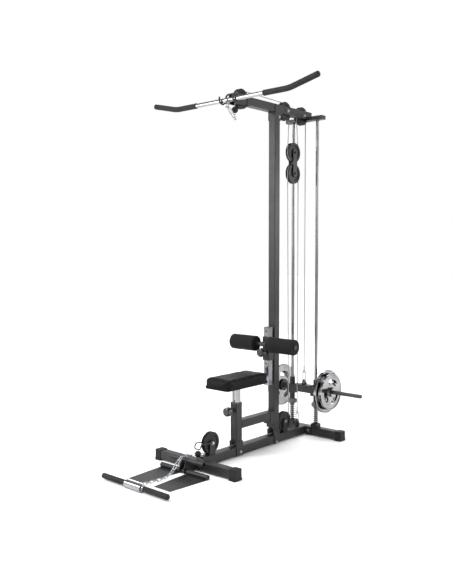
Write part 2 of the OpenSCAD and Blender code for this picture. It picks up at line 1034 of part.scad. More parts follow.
// A curved hand hole, from a width across it and a half angle along it.
module grip_hole(r) {
    translate([0, 0, -1]) {
        rotate([0, 0, -grip_half_angle])
            rotate_extrude(angle = 2 * grip_half_angle)
                translate([r - grip_w / 2, 0])
                    square([grip_w, 60]);
        for (end = [-1, 1])
            rotate([0, 0, end * grip_half_angle])
                translate([r, 0, 0])
                    cylinder(r = grip_w / 2, h = 60);
    }
}

// A weight plate with three hand holes. Its inner face is at x0 and its hub is as long as said.
module weight_plate(x0, r, hub_l) {
    lip = 9;
    web_in = 4;
    grip_at = (hub_r + r - lip) / 2 - 4;
    translate([x0, rod_y, horn_z])
        rotate([90, 0, 90])
            difference() {
                rotate_extrude()
                    polygon([
                        [horn_r + bore_play, 0], [hub_r, 0], [hub_r + 2, web_in], [r - lip - 3, web_in],
                        [r - lip, 2], [r - 3, 2], [r, 5], [r, plate_t - 1], [r - 3, plate_t + 2],
                        [r - lip, plate_t + 2], [r - lip - 3, plate_t - 2], [hub_r + 2, plate_t - 2],
                        [hub_r, hub_l], [horn_r + bore_play, hub_l]
                    ]);
                for (a = grip_angles)
                    rotate([0, 0, a])
                        grip_hole(grip_at);
            }
}

module right_inner_plate() {
    color(chrome)
        weight_plate(inner_x, inner_plate_r, inner_hub);
}

module right_outer_plate() {
    color(chrome)
        weight_plate(outer_x, outer_plate_r, outer_hub);
}

module left_inner_plate() {
    mirror([1, 0, 0])
        right_inner_plate();
}

module left_outer_plate() {
    mirror([1, 0, 0])
        right_outer_plate();
}

// ---------- lat bar and its cable end ----------

// The ball that stops the cable at the front sheave.
module lat_ball() {
    color(rubber_black)
        translate([0, lat_ball_at[0], lat_ball_at[1]])
            sphere(lat_ball_r);
}

// The cable's eye, and the long link that reaches from it to just short of the bar's eye.
module lat_link() {
    low = lat_ball_at - [0, lat_ball_r + ferrule_l + eye_r + 1.2];
    high = bar_eye - (bar_eye_r + hook_wire + 0.6) * unit(bar_eye - low);
    color(chrome) {
        translate([0, low[0], low[1]])
            cable_eye();
        aim(low, high)
            oval_ring(norm(high - low), hook_half, hook_wire);
    }
}

bar_end = [bar_half, bar_y, bar_end_z];
bar_bend_at = [bar_bend, bar_y, bar_z];
cap_inset = (grip_r - bar_r) * unit(bar_end - bar_bend_at);

// The bar, with the eye that the cable's link hangs from. Its bends are inside the grips.
module lat_bar() {
    color(chrome)
        difference() {
            union() {
                pin_x([bar_y, bar_z], -bar_bend, bar_bend, bar_r);
                both_sides()
                    rod(bar_bend_at - cap_inset, bar_end - 1.2 * cap_inset, bar_r);
                side_plate(-4, 8) {
                    translate(bar_eye)
                        circle(bar_eye_r);
                    translate(bar_eye)
                        rotate(atan2(bar_z - bar_eye[1], bar_y - bar_eye[0]) - 90)
                            translate([-bar_r + 1, 0])
                                square([2 * bar_r - 2, 36]);
                }
            }
            pin_x(bar_eye, -5, 5, bar_eye_hole);
        }
}

// The rubber grips, closed over the bar's ends.
module lat_grips() {
    start = [grip_start, bar_y, bar_z];
    over = [2, 0, 0];
    color(rubber_black)
        both_sides()
            difference() {
                sweep(softened([start, bar_bend_at, bar_end], 30), grip_r, [0, 1, 0], 24);
                sweep([start - over, bar_bend_at, bar_end - cap_inset], bar_r + grip_play, [0, 1, 0], 24);
            }
}

// ---------- seat ----------

// The post with the groove that its pin runs in, and the plate under the pad.
module seat_post() {
    color(chrome)
        difference() {
            tube_along_z(seat_y, post_bottom, post_top)
                rounded_rect(post_w, post_w, 3);
            block([-groove_w / 2, seat_y - post_w, post_bottom - 1],
                  [groove_w / 2, seat_y - post_w / 2 + groove_d, post_top + 1]);
            for (z = [post_bottom + 20 : 25 : post_top - 60])
                pin_y(0, z, seat_y - post_w, seat_y, pin_r + 0.3);
        }
    color(black)
        translate([0, pad_y, post_top])
            linear_extrude(seat_top - pad_t - post_top - pad_gap)
                rounded_rect(120, 240, 12);
}

module seat_pad() {
    color("#202022")
        translate([0, pad_y, seat_top - pad_t])
            linear_extrude(pad_t)
                rounded_rect(pad_w, pad_l, 24);
}

// A pull knob with finger hollows and its pin, pointing along +Y from its back face at y = 0.
module pop_pin(reach) {
    knob_l = 38;
    rotate([-90, 0, 0]) {
        difference() {
            rotate_extrude()
                polygon([
                    [0, 0], [knob_r - 8, 0], [knob_r - 2, 3], [knob_r, 8], [knob_r, knob_l - 8],
                    [knob_r - 8, knob_l - 2], [barrel_r + 3, knob_l], [0, knob_l]
                ]);
            for (a = [0 : 60 : 300])
                rotate([0, 0, a])
                    translate([knob_r + 4, 0, -1])
                        cylinder(r = 8, h = knob_l + 2);
        }
        translate([0, 0, knob_l])
            cylinder(r = pin_r, h = reach - knob_l);
    }
}

module seat_pin() {
    back = seat_y - half_w - 30.5 - 38;
    tip = seat_y - post_w / 2 - 0.5;
    color(rubber_black)
        translate([0, back, seat_pin_z])
            pop_pin(tip - back);
}

// ---------- thigh hold-down ----------

// The sleeve on the perforated post, and the rod that carries the rollers.
module thigh_sleeve() {
    front = thigh_y - sleeve_w / 2;
    color(black) {
        difference() {
            union() {
                tube_along_z(thigh_y, sleeve_low, sleeve_high)
                    difference() {
                        rounded_rect(sleeve_w, sleeve_w, tube_r);
                        square(sleeve_in, center = true);
                    }
                pin_y(0, thigh_pin_z, front - 22, front + 1, barrel_r);
                block([-24, roller_y, roller_z - 12], [24, front + 1, roller_z + 12]);
                pin_x([roller_y, roller_z], -24, 24, 14);
            }
            pin_y(0, thigh_pin_z, front - 30, thigh_y, pin_r + bore_play);
        }
        pin_x([roller_y, roller_z], -roller_x1 - 4, roller_x1 + 4, roller_rod);
        both_sides() {
            pin_x([roller_y, roller_z], roller_x0 - 6, roller_x0 - 0.5, 16);
            pin_x([roller_y, roller_z], roller_x1 + 0.5, roller_x1 + 4, 16);
        }
    }
}

module right_roller() {
    color("#242426")
        difference() {
            pin_x([roller_y, roller_z], roller_x0, roller_x1, roller_r);
            pin_x([roller_y, roller_z], roller_x0 - 1, roller_x1 + 1, roller_rod + bore_play);
        }
}

module left_roller() {
    mirror([1, 0, 0])
        right_roller();
}

module thigh_pin() {
    back = thigh_y - sleeve_w / 2 - 22.5 - 38;
    tip = thigh_y - thigh_w / 2 - 0.9;
    color(rubber_black)
        translate([0, back, thigh_pin_z])
            pop_pin(tip - back);
}

// ---------- foot plates ----------

// A sheet that lies on the floor, with its rolled hinge.
module right_foot_plate() {
    color(black)
        difference() {
            union() {
                pin_x([hinge_y, hinge_r], foot_x0, foot_x1, hinge_r);
                linear_extrude(sheet_t)
                    polygon([
                        [foot_x0, hinge_y], [foot_x1, hinge_y],
                        [foot_front_x1, foot_front], [foot_front_x0, foot_front]
                    ]);
            }
            pin_x([hinge_y, hinge_r], 0, foot_x1 + 1, hinge_in);
        }
}

module left_foot_plate() {
    mirror([1, 0, 0])
        right_foot_plate();
}

// ---------- row handle ----------

// One chain link between two points of the YZ plane, flat or on edge.
module chain_link(from, to, on_edge) {
    length = norm(to - from) + 2 * link_lap;
    aim(from, to)
        rotate([0, 0, on_edge ? 90 : 0])
            translate([0, 0, -link_lap])
                oval_ring(length, link_half, link_wire);
}

// The chain over the stop tube, a snap hook, and the chain along the floor.
module row_chain() {
    color(chrome) {
        for (i = [0 : len(chain_points) - 2])
            chain_link(chain_points[i], chain_points[i + 1], i % 2 == 0);
        aim(chain_points[len(chain_points) - 1], floor_points[0])
            translate([0, 0, -4])
                oval_ring(norm(floor_points[0] - chain_points[len(chain_points) - 1]) + 8, 9, 2.8);
        for (i = [0 : len(floor_points) - 2])
            chain_link(floor_points[i], floor_points[i + 1], i % 2 == 0);
    }
}

// The sleeve that the handle turns in, with the lug that the chain pulls on.
module row_sleeve() {
    lug_y = handle_y + handle_z + 12;
    color(chrome)
        difference() {
            union() {
                pin_x([handle_y, handle_z], -sleeve_len, sleeve_len, handle_z);
                side_plate(-2.5, 5) {
                    translate([handle_y, handle_z - 10])
                        square([lug_y - handle_y, 18]);
                    translate([lug_y, handle_z - 1])
                        circle(9);
                }
            }
            pin_x([handle_y, handle_z], -sleeve_len - 1, sleeve_len + 1, handle_rod + bore_play);
            pin_x([lug_y, handle_z - 1], -4, 4, 5);
        }
}

module row_handle() {
    color(rubber_black) {
        pin_x([handle_y, handle_z], -handle_half + 8, handle_half - 8, handle_rod);
        both_sides() {
            pin_x([handle_y, handle_z], sleeve_len + 0.5, handle_half - 8, handle_grip_r);
            translate([handle_half - 8, handle_y, handle_z])
                rotate([0, 90, 0])
                    rotate_extrude()
                        polygon([
                            [0, 0], [handle_grip_r, 0], [handle_grip_r - 2, 5],
                            [handle_grip_r - 7, 8], [0, 8]
                        ]);
        }
    }
}

module row_ball() {
    color(rubber_black)
        translate([0, row_ball_at[0], row_ball_at[1]])
            sphere(row_ball_r);
}

front_cross_tube();
rear_cross_tube();
foot_caps();
base_rail();
column();
seat_column();
lower_brace();
boom();
boom_gussets();
front_fork();
top_cross_bar();
guide_rods();
plastic_caps();
spring_seats();
bumper_springs();
low_brackets();
frame_bolts();
anchor_hook();
thigh_post();
foot_bracket();
fixed_cables();
front_top_sheave();
middle_top_sheave();
rear_top_sheave();
low_front_sheave();
low_rear_sheave();
block_plates();
block_upper_sheave();
block_lower_sheave();
block_cables();
lat_cable_front();
lat_cable_block();
lat_cable_rear();
row_cable_block();
row_cable_front();
carriage_beam();
horns();
rubber_cups();
carriage_hook();
left_inner_plate();
left_outer_plate();
right_inner_plate();
right_outer_plate();
lat_ball();
lat_link();
lat_bar();
lat_grips();
seat_post();
seat_pad();
seat_pin();
thigh_sleeve();
left_roller();
right_roller();
thigh_pin();
left_foot_plate();
right_foot_plate();
row_chain();
row_sleeve();
row_handle();
row_ball();
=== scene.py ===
"""Looks for a plate-loaded cable tower: a lat bar, a low row, a seat and a weight carriage."""
import json
import math

import bmesh
import bpy
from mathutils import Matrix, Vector, noise


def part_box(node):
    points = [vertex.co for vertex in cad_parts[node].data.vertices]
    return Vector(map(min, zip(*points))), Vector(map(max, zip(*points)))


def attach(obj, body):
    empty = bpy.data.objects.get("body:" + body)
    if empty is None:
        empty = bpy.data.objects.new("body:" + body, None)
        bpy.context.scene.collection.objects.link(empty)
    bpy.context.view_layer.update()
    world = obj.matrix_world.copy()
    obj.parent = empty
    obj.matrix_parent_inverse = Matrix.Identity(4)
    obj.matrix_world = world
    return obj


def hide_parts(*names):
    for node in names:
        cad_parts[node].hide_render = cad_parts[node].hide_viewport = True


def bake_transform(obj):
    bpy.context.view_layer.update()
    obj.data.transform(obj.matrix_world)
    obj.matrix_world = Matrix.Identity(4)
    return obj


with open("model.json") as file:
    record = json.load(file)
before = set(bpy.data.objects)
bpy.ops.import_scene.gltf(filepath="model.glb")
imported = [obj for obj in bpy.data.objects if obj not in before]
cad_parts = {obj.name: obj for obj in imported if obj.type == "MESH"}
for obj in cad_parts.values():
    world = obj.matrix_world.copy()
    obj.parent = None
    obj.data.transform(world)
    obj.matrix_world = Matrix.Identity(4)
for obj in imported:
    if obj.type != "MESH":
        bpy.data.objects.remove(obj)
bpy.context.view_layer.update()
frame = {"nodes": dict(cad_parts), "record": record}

NODES = frame["nodes"]
MM = 0.001


# ---------- materials ----------

class Look:
    """A material under construction: its node tree and short ways to add detail to it."""

    def __init__(self, name, color, roughness, metallic=0.0, **sockets):
        self.material = bpy.data.materials.new(name)
        self.material.use_nodes = True
        self.tree = self.material.node_tree
        self.shader = self.tree.nodes["Principled BSDF"]
        self.shader.inputs["Base Color"].default_value = (*color, 1)
        self.shader.inputs["Roughness"].default_value = roughness
        self.shader.inputs["Metallic"].default_value = metallic
        for socket, value in sockets.items():
            self.shader.inputs[socket.replace("_", " ")].default_value = value
        self.coords = self.add("ShaderNodeTexCoord").outputs["Object"]
        self.normal = None

    def add(self, kind, **settings):
        node = self.tree.nodes.new(kind)
        for key, value in settings.items():
            setattr(node, key, value)
        return node

    def link(self, source, target):
        self.tree.links.new(source, target)

    def stretched(self, scale):
        """The object's coordinates, scaled differently along each axis."""
        mapping = self.add("ShaderNodeMapping")
        mapping.inputs["Scale"].default_value = scale
        self.link(self.coords, mapping.inputs["Vector"])
        return mapping.outputs["Vector"]

    def noise(self, scale, detail, stretch=None):
        texture = self.add("ShaderNodeTexNoise")
        texture.inputs["Scale"].default_value = scale
        texture.inputs["Detail"].default_value = detail
        self.link(self.stretched(stretch) if stretch else self.coords, texture.inputs["Vector"])
        return texture.outputs["Fac"]

    def cells(self, scale):
        texture = self.add("ShaderNodeTexVoronoi")
        texture.inputs["Scale"].default_value = scale
        self.link(self.coords, texture.inputs["Vector"])
        return texture.outputs["Distance"]

    def bands(self, axis, scale, distortion):
        texture = self.add("ShaderNodeTexWave", bands_direction=axis)
        texture.inputs["Scale"].default_value = scale
        texture.inputs["Distortion"].default_value = distortion
        self.link(self.coords, texture.inputs["Vector"])
        return texture.outputs["Fac"]

    def spread(self, fac, low, high):
        """A noise value turned into a range. Noise keeps mostly between 0.3 and 0.7."""
        remap = self.add("ShaderNodeMapRange")
        remap.inputs["From Min"].default_value = 0.3
        remap.inputs["From Max"].default_value = 0.7
        remap.inputs["To Min"].default_value = low
        remap.inputs["To Max"].default_value = high
        self.link(fac, remap.inputs["Value"])
        return remap.outputs["Result"]

    def vary_color(self, fac, low, high, start=0.3, end=0.7):
        ramp = self.add("ShaderNodeValToRGB")
        ramp.color_ramp.elements[0].position = start
        ramp.color_ramp.elements[0].color = (*low, 1)
        ramp.color_ramp.elements[1].position = end
        ramp.color_ramp.elements[1].color = (*high, 1)
        self.link(fac, ramp.inputs["Fac"])
        self.link(ramp.outputs["Color"], self.shader.inputs["Base Color"])

    def vary_roughness(self, fac, low, high):
        self.link(self.spread(fac, low, high), self.shader.inputs["Roughness"])

    def soft_edges(self, radius):
        """Rounds sharp edges in the shading."""
        bevel = self.add("ShaderNodeBevel", samples=4)
        bevel.inputs["Radius"].default_value = radius
        self.normal = bevel.outputs["Normal"]
        self.link(self.normal, self.shader.inputs["Normal"])

    def bump(self, height, distance):
        """Raises the surface by a height map, on top of the bumps already there."""
        node = self.add("ShaderNodeBump")
        node.inputs["Strength"].default_value = 1
        node.inputs["Distance"].default_value = distance
        self.link(height, node.inputs["Height"])
        if self.normal is not None:
            self.link(self.normal, node.inputs["Normal"])
        self.normal = node.outputs["Normal"]
        self.link(self.normal, self.shader.inputs["Normal"])


def powder_coat(name, low, high):
    """Satin paint with a fine orange peel, faint clouding and an uneven gloss."""
    look = Look(name, high, 0.4, Coat_Weight=0.08, Coat_Roughness=0.3, Specular_IOR_Level=0.28)
    look.soft_edges(0.8 * MM)
    look.vary_color(look.noise(9, 5), low, high)
    look.vary_roughness(look.noise(60, 4), 0.38, 0.46)
    look.bump(look.noise(900, 2), 0.06 * MM)
    return look.material


def bright_plate(name, color, rough_low, rough_high, clouding=0.14):
    """Bright steel with faint rub marks and some clouding."""
    look = Look(name, color, rough_low, 1.0)
    look.soft_edges(0.5 * MM)
    dull = tuple((1 - clouding) * part for part in color)
    look.vary_color(look.noise(14, 4), dull, color)
    look.vary_roughness(look.noise(120, 5), rough_low, rough_high)
    look.bump(look.noise(700, 3), 0.015 * MM)
    return look.material


def moulded(name, low, high, rough_low, rough_high, grain, depth, shine=0.2):
    """Moulded rubber or plastic with a fine grain."""
    look = Look(name, high, rough_low, Specular_IOR_Level=shine)
    look.soft_edges(0.6 * MM)
    look.vary_color(look.noise(25, 4), low, high)
    look.vary_roughness(look.noise(80, 3), rough_low, rough_high)
    look.bump(look.noise(grain, 4), depth)
    return look.material


def leatherette():
    """Black vinyl with a pebbled grain, fine creases and a soft sheen."""
    look = Look("leatherette", (0.005, 0.005, 0.0053), 0.45, Specular_IOR_Level=0.08)
    look.vary_color(look.noise(30, 5), (0.004, 0.004, 0.0043), (0.006, 0.006, 0.0065))
    look.vary_roughness(look.noise(50, 4), 0.43, 0.5)
    look.bump(look.cells(620), 0.14 * MM)
    look.bump(look.noise(1500, 3), 0.05 * MM)
    look.bump(look.noise(22, 3, (1, 0.4, 1)), 0.3 * MM)
    return look.material


def foam():
    """Closed-cell foam, dull and finely pitted."""
    look = Look("foam", (0.008, 0.008, 0.0084), 0.75, Specular_IOR_Level=0.16)
    look.vary_color(look.noise(40, 5), (0.007, 0.0072, 0.0076), (0.009, 0.0093, 0.0098))
    look.vary_roughness(look.noise(90, 3), 0.76, 0.86)
    look.bump(look.cells(900), 0.18 * MM)
    look.bump(look.noise(260, 5), 0.2 * MM)
    return look.material


def coated_cable():
    """Steel strand under a dark clear coat: twisted wires show as slanting bands."""
    look = Look("cable", (0.25, 0.25, 0.26), 0.3, 0.3, Coat_Weight=0.5, Coat_Roughness=0.12)
    strand = look.bands("DIAGONAL", 130, 0.5)
    look.vary_color(strand, (0.12, 0.12, 0.125), (0.36, 0.365, 0.375), 0.2, 0.8)
    look.vary_roughness(look.noise(200, 3), 0.25, 0.4)
    look.bump(strand, 0.3 * MM)
    return look.material


PAINT = powder_coat("frame_paint", (0.011, 0.0115, 0.0125), (0.02, 0.0205, 0.022))
HORN = powder_coat("horn_steel", (0.03, 0.031, 0.033), (0.05, 0.052, 0.056))
CHROME = bright_plate("chrome", (0.36, 0.363, 0.37), 0.14, 0.26, clouding=0.2)
PLATE_CHROME = bright_plate("plate_chrome", (0.36, 0.36, 0.365), 0.08, 0.16, clouding=0.4)
ZINC = bright_plate("zinc", (0.44, 0.45, 0.47), 0.2, 0.34)
ROD_STEEL = bright_plate("guide_rod_steel", (0.22, 0.224, 0.232), 0.12, 0.22)
SPRING_STEEL = bright_plate("spring_steel", (0.07, 0.071, 0.074), 0.22, 0.36)
POST_STEEL = bright_plate("post_steel", (0.27, 0.275, 0.285), 0.12, 0.26, clouding=0.4)
RUBBER = moulded("rubber", (0.008, 0.008, 0.0085), (0.016, 0.016, 0.017), 0.5, 0.66,
                 grain=800, depth=0.12 * MM)
GREY_RUBBER = moulded("cup_rubber", (0.1, 0.1, 0.105), (0.15, 0.15, 0.155), 0.5, 0.7,
                      grain=700, depth=0.1 * MM)
PLASTIC = moulded("plastic", (0.008, 0.008, 0.0085), (0.015, 0.015, 0.016), 0.18, 0.28,
                  grain=1100, depth=0.04 * MM, shine=0.55)
NYLON = moulded("sheave", (0.009, 0.009, 0.0095), (0.018, 0.018, 0.019), 0.28, 0.42,
                grain=600, depth=0.05 * MM)
LEATHERETTE = leatherette()
FOAM = foam()
CABLE = coated_cable()

BY_SLOT = {
    "frame_paint": PAINT, "horn_steel": HORN, "chrome": CHROME, "zinc": ZINC, "rubber": RUBBER,
    "cup_rubber": GREY_RUBBER, "plastic": PLASTIC, "sheave": NYLON, "leatherette": LEATHERETTE,
    "foam": FOAM, "cable": CABLE,
}


def paint(obj, material):
    obj.data.materials.clear()
    obj.data.materials.append(material)


def paint_cad_nodes():
    for part in frame["record"]["subparts"]:
        paint(NODES[part["node"]], BY_SLOT[part["material_slot"]])
    paint(NODES["guide_rods"], ROD_STEEL)
    paint(NODES["thigh_post"], POST_STEEL)
    paint(NODES["seat_post"], PLATE_CHROME)
    for side in ("left", "right"):
        for place in ("inner", "outer"):
            paint(NODES[f"{side}_{place}_plate"], PLATE_CHROME)


# ---------- mesh helpers ----------

def shade_smooth(mesh):
    for polygon in mesh.polygons:
        polygon.use_smooth = True


def new_piece(name, bm, material):
    """A smooth-shaded object from a bmesh."""
    bmesh.ops.recalc_face_normals(bm, faces=bm.faces)
    mesh = bpy.data.meshes.new(name)
    bm.to_mesh(mesh)
    bm.free()
    shade_smooth(mesh)
    obj = bpy.data.objects.new(name, mesh)
    bpy.context.scene.collection.objects.link(obj)
    paint(obj, material)
    return obj


def add_tube(bm, path, radius, sides, closed=False):
    """Adds a round tube along a path. The radius is a number, or a list with one for each point."""
    points = [Vector(p) for p in path]
    count = len(points)
    radii = radius if isinstance(radius, list) else [radius] * count
    rings = []
    side = None
    for i, point in enumerate(points):
        before = points[(i - 1) % count if closed else max(i - 1, 0)]
        after = points[(i + 1) % count if closed else min(i + 1, count - 1)]
        along = (after - before).normalized()
        if side is None:
            side = along.cross(Vector((1, 0, 0) if abs(along.x) < 0.9 else (0, 0, 1))).normalized()
        side = (side - side.dot(along) * along).normalized()
        other = along.cross(side)
        ring = []
        for k in range(sides):
            angle = 2 * math.pi * k / sides
            outward = math.cos(angle) * side + math.sin(angle) * other
            ring.append(bm.verts.new(point + radii[i] * outward))
        rings.append(ring)
    pairs = list(zip(rings, rings[1:])) + ([(rings[-1], rings[0])] if closed else [])
    for low, high in pairs:
        for k in range(sides):
            n = (k + 1) % sides
            bm.faces.new((low[k], low[n], high[n], high[k]))
    if not closed:
        bm.faces.new(rings[0][::-1])
        bm.faces.new(rings[-1])


def smooth_path(corners, reach, steps=8):
    """The corners of a path, each turned into a short curve."""
    points = [Vector(p) for p in corners]
    path = [points[0]]
    for before, corner, after in zip(points, points[1:], points[2:]):
        back = (before - corner).normalized()
        on = (after - corner).normalized()
        for i in range(steps + 1):
            t = i / steps
            path.append(corner + reach * ((1 - t) ** 2 * back + t * t * on))
    path.append(points[-1])
    return path


def lathe(bm, profile, centre, segments):
    """Adds a closed profile of (along, radius) points turned about the X line through the centre."""
    rings = []
    for k in range(segments):
        angle = 2 * math.pi * k / segments
        ring = []
        for along, radius in profile:
            offset = Vector((along, radius * math.cos(angle), radius * math.sin(angle)))
            ring.append(bm.verts.new(Vector(centre) + offset))
        rings.append(ring)
    count = len(profile)
    for k in range(segments):
        low, high = rings[k], rings[(k + 1) % segments]
        for i in range(count):
            n = (i + 1) % count
            bm.faces.new((low[i], low[n], high[n], high[i]))


def corners_of(node):
    """The low and the high corner of a node's box."""
    return [Vector(corner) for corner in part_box(node)]


def middle(node):
    low, high = corners_of(node)
    return (low + high) / 2


# ---------- cables ----------

CABLE_R = 3 * MM
CABLE_SIDES = 12
# Radii of the cables' centre lines on the top sheaves, and on the block's and the low ones.
TOP_RUN = 50 * MM
LOW_RUN = 56 * MM
ANCHOR_CABLE_Z = 186.2 * MM
# The drawn row cable leaves its front sheave at another angle than at rest. The cable is aimed at
# this far along the pull from the ball, which puts its end on the sheave between the two.
ROW_AIM = 70 * MM


class Stop:
    """A sheave that a cable runs round, or a plain point when its radius is 0."""

    def __init__(self, centre, radius=0.0, turn=1):
        self.centre = Vector(centre)
        self.radius = radius
        self.turn = turn

    def touch(self, angle):
        return self.centre + self.turn * self.radius * Vector((math.sin(angle), -math.cos(angle)))


def heading(a, b):
    """The direction of the straight run from one stop to the next, in the YZ plane."""
    gap = b.centre - a.centre
    lean = math.asin((b.turn * b.radius - a.turn * a.radius) / gap.length)
    return math.atan2(gap.y, gap.x) - lean


def wrap(a, stop, b, steps):
    """The points round one stop, from the run that comes from a to the run that goes to b."""
    start = heading(a, stop)
    size = (stop.turn * (heading(stop, b) - start)) % (2 * math.pi)
    return [stop.touch(start + stop.turn * size * i / steps) for i in range(steps + 1)]


def run(a, b):
    """The two ends of the straight run between two stops."""
    angle = heading(a, b)
    return [a.touch(angle), b.touch(angle)]


def sheave_stop(node, radius, turn):
    centre = middle(node)
    return Stop((centre.y, centre.z), radius, turn)


def cable_piece(name, routes, replaced=()):
    bm = bmesh.new()
    for route in routes:
        add_tube(bm, [(0, p.x, p.y) for p in route], CABLE_R, CABLE_SIDES)
    piece = new_piece(name, bm, CABLE)
    if replaced:
        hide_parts(*replaced)
    return piece


def stretching(name, ends, replaced=()):
    """A straight cable run whose second end lies on a moving body."""
    piece = cable_piece(name, [ends], replaced)
    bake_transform(piece)
    return piece


def joint_axis(name):
    joints = frame["record"]["behaviour"]["joints"]
    return next(joint["axis"] for joint in joints if joint["name"] == name)


def add_cables():
    """Every cable run: those that stay put, those on the block, and those that stretch."""
    front_low, _ = corners_of("lat_cable_front")
    rear_low, rear_high = corners_of("lat_cable_rear")
    row_low, _ = corners_of("row_cable_front")
    _, pull_y, pull_z = joint_axis("row_pull")
    lat_start = Stop((middle("lat_ball").y, front_low.z))
    lat_end = Stop(((rear_low.y + rear_high.y) / 2, rear_low.z))
    row_start = Stop((row_low.y, middle("row_ball").z - 1 * MM))
    row_leaving = Stop(row_start.centre + ROW_AIM * Vector((pull_y, pull_z)))
    row_end = Stop((middle("anchor_hook").y, ANCHOR_CABLE_Z))
    front = sheave_stop("front_top_sheave", TOP_RUN, -1)
    centre = sheave_stop("middle_top_sheave", TOP_RUN, -1)
    upper = sheave_stop("block_upper_sheave", LOW_RUN, 1)
    rear = sheave_stop("rear_top_sheave", TOP_RUN, -1)
    low_front = sheave_stop("low_front_sheave", LOW_RUN, 1)
    low_rear = sheave_stop("low_rear_sheave", LOW_RUN, 1)
    lower = sheave_stop("block_lower_sheave", LOW_RUN, -1)

    fixed = cable_piece("fixed_cable_runs", [
        wrap(lat_start, front, centre, steps=24) + wrap(front, centre, upper, steps=14),
        wrap(upper, rear, lat_end, steps=24),
        wrap(row_leaving, low_front, low_rear, steps=6) + wrap(low_front, low_rear, lower, steps=16),
    ], ["fixed_cables"])
    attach(fixed, "frame")
    on_block = cable_piece("block_cable_runs", [
        wrap(centre, upper, rear, steps=24),
        wrap(low_rear, lower, row_end, steps=24),
    ], ["block_cables"])
    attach(on_block, "floating_block")
    stretching("lat_cable_at_bar", [run(lat_start, front)[1], lat_start.centre],
               ["lat_cable_front"])
    stretching("lat_cable_to_block", run(centre, upper), ["lat_cable_block"])
    stretching("lat_cable_from_block", run(upper, rear)[::-1])
    stretching("lat_cable_to_weight", [run(rear, lat_end)[0], lat_end.centre],
               ["lat_cable_rear"])
    stretching("row_cable_to_block", run(low_rear, lower), ["row_cable_block"])
    stretching("row_cable_to_anchor", [row_end.centre, run(lower, row_end)[0]])
    stretching("row_cable_at_ball", [run(row_leaving, low_front)[1], row_start.centre],
               ["row_cable_front"])


# ---------- seat pad ----------

PAD_CORNER = 24 * MM
# The cushion's side from base to top: (share of its height, how far in from the box in mm).
PAD_SIDE = [(0, 6), (0.03, 3), (0.18, 4), (0.24, 7), (0.32, 6.5), (0.7, 6.5), (0.84, 8),
            (0.93, 11), (0.97, 17)]
PAD_GRID = 5 * MM
PAD_SWELL = 5 * MM
PAD_CROWN = 3.5 * MM
PIPING_R = 1.6 * MM
PIPING_INSET = 6 * MM
PIPING_HEIGHT = 13 * MM
STITCH_R = 0.35 * MM
STITCH_INSET = 6.6 * MM
STITCH_LONGEST = 12 * MM
STITCH_LIFT = Vector((0, 0, 4 * MM))


def rounded_outline(half, inset, steps):
    """The points of the pad's rounded rectangle about the origin, moved in by the inset."""
    reach_x = half.x - inset - PAD_CORNER
    reach_y = half.y - inset - PAD_CORNER
    points = []
    for quarter in range(4):
        sx, sy = ((1, 1), (-1, 1), (-1, -1), (1, -1))[quarter]
        for i in range(steps + 1):
            angle = math.pi / 2 * (quarter + i / steps)
            x = sx * reach_x + PAD_CORNER * math.cos(angle)
            y = sy * reach_y + PAD_CORNER * math.sin(angle)
            points.append(Vector((x, y, 0)))
    return points


def add_loft(bm, loops):
    """Skins a stack of equal loops and closes both ends."""
    rings = [[bm.verts.new(p) for p in loop] for loop in loops]
    count = len(rings[0])
    for low, high in zip(rings, rings[1:]):
        for k in range(count):
            n = (k + 1) % count
            bm.faces.new((low[k], low[n], high[n], high[k]))
    bm.faces.new(rings[0][::-1])
    bm.faces.new(rings[-1])


def inflate(obj, limit, floor_z):
    """Puffs a closed mesh up with a short cloth simulation. Each point's move is capped, and the
    points near the floor keep their place."""
    frames = 20
    held_height = 8 * MM
    scene = bpy.context.scene
    rest = [v.co.copy() for v in obj.data.vertices]
    cloth = obj.modifiers.new("cloth", "CLOTH")
    cloth.settings.use_pressure = True
    cloth.settings.uniform_pressure_force = 4
    cloth.settings.effector_weights.gravity = 0
    cloth.point_cache.frame_start = 1
    cloth.point_cache.frame_end = frames
    for step in range(1, frames + 1):
        scene.frame_set(step)
    moved = obj.evaluated_get(bpy.context.evaluated_depsgraph_get())
    swollen = [v.co.copy() for v in moved.data.vertices]
    obj.modifiers.remove(cloth)
    scene.frame_set(1)
    for vertex, start, end in zip(obj.data.vertices, rest, swollen):
        shift = end - start
        if shift.length > limit:
            shift *= limit / shift.length
        freedom = min(max((start.z - floor_z) / held_height, 0), 1)
        vertex.co = start + freedom * shift


def remesh_evenly(obj):
    """Turns an object's mesh into an even grid of small faces."""
    remesh = obj.modifiers.new("remesh", "REMESH")
    remesh.mode = "VOXEL"
    remesh.voxel_size = PAD_GRID
    gridded = obj.evaluated_get(bpy.context.evaluated_depsgraph_get())
    obj.data = bpy.data.meshes.new_from_object(gridded)
    obj.modifiers.clear()


def crown_and_ripple(mesh, centre, half, base_z):
    """Domes the cushion's top and gives its skin a slight unevenness."""
    tall = 2 * half.z
    for vertex in mesh.vertices:
        x = (vertex.co.x - centre.x) / half.x
        y = (vertex.co.y - centre.y) / half.y
        top = max(0, min(1, (vertex.co.z - base_z - 0.65 * tall) / (0.3 * tall)))
        dome = max(0, 1 - x * x) * max(0, 1 - y ** 4)
        ripple = noise.noise(vertex.co * 18) * 0.4 * MM + noise.noise(vertex.co * 55) * 0.15 * MM
        vertex.co.z += top * (PAD_CROWN * (dome - 0.6) + ripple)
        vertex.co.x += (1 - top) * noise.noise(vertex.co * 40) * 0.3 * MM


